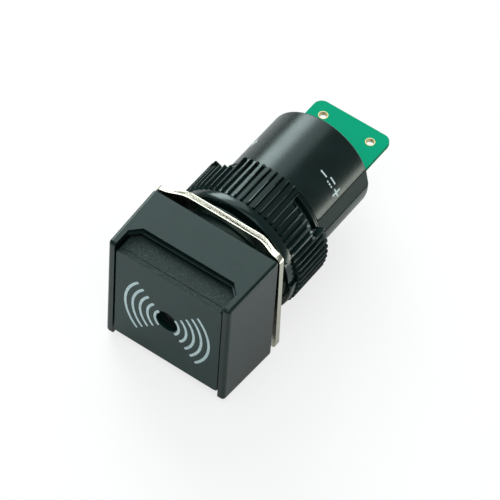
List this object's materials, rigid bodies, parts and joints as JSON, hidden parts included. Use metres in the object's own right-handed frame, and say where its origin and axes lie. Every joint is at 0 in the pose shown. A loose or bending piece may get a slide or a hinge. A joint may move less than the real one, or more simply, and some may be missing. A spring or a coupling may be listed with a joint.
{
  "type": "panel-mount sounder",
  "caption": "Panel-mount electronic sounder with a square pull-off cap, threaded barrel, castellated ring nut, bowed spring plate and a solder tail.",
  "frame": {"origin": "on the barrel's axis, in the plane where the back of the head meets the panel", "axes": "+Y along the barrel towards the wiring side, -Y out of the front of the head, +Z to the top of the head, +X to the right as seen from the front"},
  "size_m": [0.018, 0.0393, 0.018],
  "materials": {
    "housing": "moulded black, low gloss",
    "cap": "fine spark-eroded grain",
    "legend": "smooth satin black",
    "hardware": "moulded black, semi-gloss",
    "sleeve": "polished moulded black",
    "carrier": "moulded black, matt",
    "resin": "cast black resin",
    "nickel": "nickel plated",
    "steel": "plain",
    "magnet": "sintered ferrite",
    "copper": "enamelled copper wire",
    "bobbin": "natural nylon",
    "board": "green solder mask",
    "laminate": "phenolic laminate",
    "gold": "gold flash",
    "solder": "bright solder",
    "chip": "moulded epoxy",
    "ceramic": "fired ceramic",
    "felt": "pressed felt",
    "mesh": "woven dust mesh"
  },
  "bodies": {
    "device": {"housing": "housing", "felt_ring": "felt", "rear_sleeve": "sleeve", "inner_carrier": "carrier", "rear_potting": "resin", "sounder_case": "carrier", "sounder_base": "laminate", "diaphragm": "steel", "diaphragm_weight": "steel", "ring_magnet": "magnet", "coil_bobbin": "bobbin", "coil": "copper", "pole_core": "steel", "yoke_plate": "steel", "circuit_board": "board", "solder_eyelets": "gold", "transistor": "chip", "diode": "chip", "resistors": "chip", "capacitor": "ceramic", "sounder_pins": "solder", "pin_solder": "solder"},
    "cap": {"front_cap": "cap", "legend_plate": "legend", "dust_mesh": "mesh"},
    "plate": {"spring_plate": "nickel"},
    "ring": {"lock_ring": "hardware"},
    "nut": {"mounting_nut": "hardware"}
  },
  "joints": [
    {"name": "cap_pull", "type": "slide", "parent": "device", "child": "cap", "axis": [0, -1, 0], "range_m": [0, 0.012]},
    {"name": "plate_slide", "type": "slide", "parent": "device", "child": "plate", "axis": [0, 1, 0], "range_m": [0, 0.0007]},
    {"name": "ring_slide", "type": "slide", "parent": "device", "child": "ring", "axis": [0, 1, 0], "range_m": [0, 0.006]},
    {"name": "nut_turn", "type": "hinge", "parent": "ring", "child": "nut", "pos_m": [0, 0.0078, 0], "axis": [0, 1, 0], "range_deg": [0, 2160]}
  ],
  "couplings": [
    {"joint": "nut_turn", "follows": "ring_slide", "rad_per_m": 6283.2}
  ]
}
